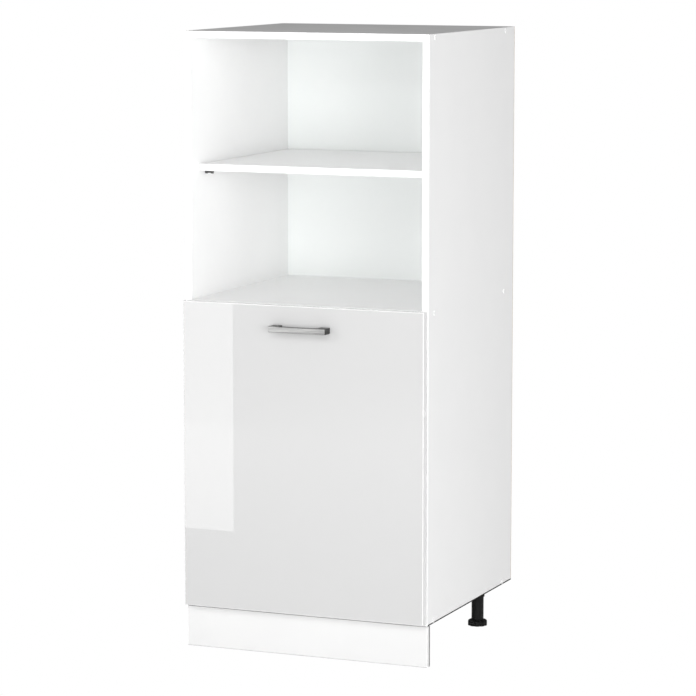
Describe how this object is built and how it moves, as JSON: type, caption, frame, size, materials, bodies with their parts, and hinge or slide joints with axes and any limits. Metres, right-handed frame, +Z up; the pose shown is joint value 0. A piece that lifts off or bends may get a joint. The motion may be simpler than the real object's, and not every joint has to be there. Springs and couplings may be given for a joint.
{
  "type": "microwave cabinet",
  "caption": "Tall free-standing white kitchen cabinet: an open shelved niche for a microwave oven above a cupboard with a hinged door, on a plinth and screw feet.",
  "frame": {"origin": "on the floor, at the bottom centre of the bounding box with the door shut and the feet screwed in", "axes": "+Z up, -Y towards the front with the door, +X to the right as seen from the front"},
  "size_m": [0.6016, 0.611, 1.43],
  "materials": {
    "white_board": "smooth satin white melamine on chipboard",
    "back_board": "smooth white lacquered hardboard",
    "edge_band": "satin white plastic edge band",
    "door_gloss": "white board with a glossy wrapped face",
    "handle_metal": "satin metal with a fine vertical grain",
    "screw_steel": "zinc-plated steel",
    "hinge_steel": "nickel-plated pressed steel",
    "cap_plastic": "smooth white plastic",
    "dowel_wood": "plain beech",
    "support_metal": "dark plated steel",
    "bumper_rubber": "soft translucent rubber",
    "leg_plastic": "black moulded plastic with a fine grain"
  },
  "bodies": {
    "carcass": {"back_panel": "back_board", "back_panel_screws": "screw_steel", "bottom_panel": "white_board", "cupboard_shelf": "white_board", "cupboard_shelf_supports": "support_metal", "edge_band_bottom_panel": "edge_band", "edge_band_cupboard_shelf": "edge_band", "edge_band_middle_panel": "edge_band", "edge_band_niche_shelf": "edge_band", "edge_band_side_left": "edge_band", "edge_band_side_right": "edge_band", "edge_band_top_panel": "edge_band", "hinge_arm_lower": "hinge_steel", "hinge_arm_pins": "hinge_steel", "hinge_arm_screws": "screw_steel", "hinge_arm_upper": "hinge_steel", "hinge_plate_lower": "hinge_steel", "hinge_plate_screws": "screw_steel", "hinge_plate_upper": "hinge_steel", "leg_socket_front_left": "leg_plastic", "leg_socket_front_right": "leg_plastic", "leg_socket_rear_left": "leg_plastic", "leg_socket_rear_right": "leg_plastic", "leg_socket_screws": "screw_steel", "leg_tube_front_left": "leg_plastic", "leg_tube_front_right": "leg_plastic", "leg_tube_rear_left": "leg_plastic", "leg_tube_rear_right": "leg_plastic", "middle_panel": "white_board", "niche_shelf": "white_board", "niche_shelf_supports": "support_metal", "panel_dowels": "dowel_wood", "panel_fixing_screws": "screw_steel", "plinth_board": "white_board", "plinth_clip_screws": "screw_steel", "plinth_clips": "leg_plastic", "plinth_edge_bands": "edge_band", "screw_cover_caps": "cap_plastic", "side_panel_left": "white_board", "side_panel_right": "white_board", "top_panel": "white_board"},
    "hinge_outer_links": {"hinge_outer_link_lower": "hinge_steel", "hinge_outer_link_upper": "hinge_steel"},
    "door": {"door_panel": "door_gloss", "door_handle": "handle_metal", "door_handle_screws": "screw_steel", "door_bumpers": "bumper_rubber", "hinge_cup_lower": "hinge_steel", "hinge_cup_upper": "hinge_steel", "hinge_cup_screws": "screw_steel", "hinge_cup_pins": "hinge_steel"},
    "hinge_inner_links": {"hinge_inner_link_lower": "hinge_steel", "hinge_inner_link_upper": "hinge_steel"},
    "foot_front_left": {"leg_foot_front_left": "leg_plastic"},
    "foot_front_right": {"leg_foot_front_right": "leg_plastic"},
    "foot_rear_left": {"leg_foot_rear_left": "leg_plastic"},
    "foot_rear_right": {"leg_foot_rear_right": "leg_plastic"}
  },
  "joints": [
    {"name": "hinge_outer_link_turn", "type": "hinge", "parent": "carcass", "child": "hinge_outer_links", "pos_m": [-0.25703, -0.23634, 0.4565], "axis": [0, 0, 1], "range_deg": [0, 28.9]},
    {"name": "door_turn", "type": "hinge", "parent": "hinge_outer_links", "child": "door", "pos_m": [-0.28672, -0.25887, 0.4565], "axis": [0, 0, -1], "range_deg": [0, 118.8]},
    {"name": "hinge_inner_link_turn", "type": "hinge", "parent": "carcass", "child": "hinge_inner_links", "pos_m": [-0.2676, -0.2599, 0.4565], "axis": [0, 0, 1], "range_deg": [0, 48.6]},
    {"name": "foot_front_left_height", "type": "slide", "parent": "carcass", "child": "foot_front_left", "axis": [0, 0, -1], "range_m": [0, 0.02]},
    {"name": "foot_front_right_height", "type": "slide", "parent": "carcass", "child": "foot_front_right", "axis": [0, 0, -1], "range_m": [0, 0.02]},
    {"name": "foot_rear_left_height", "type": "slide", "parent": "carcass", "child": "foot_rear_left", "axis": [0, 0, -1], "range_m": [0, 0.02]},
    {"name": "foot_rear_right_height", "type": "slide", "parent": "carcass", "child": "foot_rear_right", "axis": [0, 0, -1], "range_m": [0, 0.02]}
  ],
  "couplings": [
    {"joint": "hinge_outer_link_turn", "follows": "door_turn", "ratio": 0.243},
    {"joint": "hinge_inner_link_turn", "follows": "door_turn", "ratio": 0.40878}
  ]
}
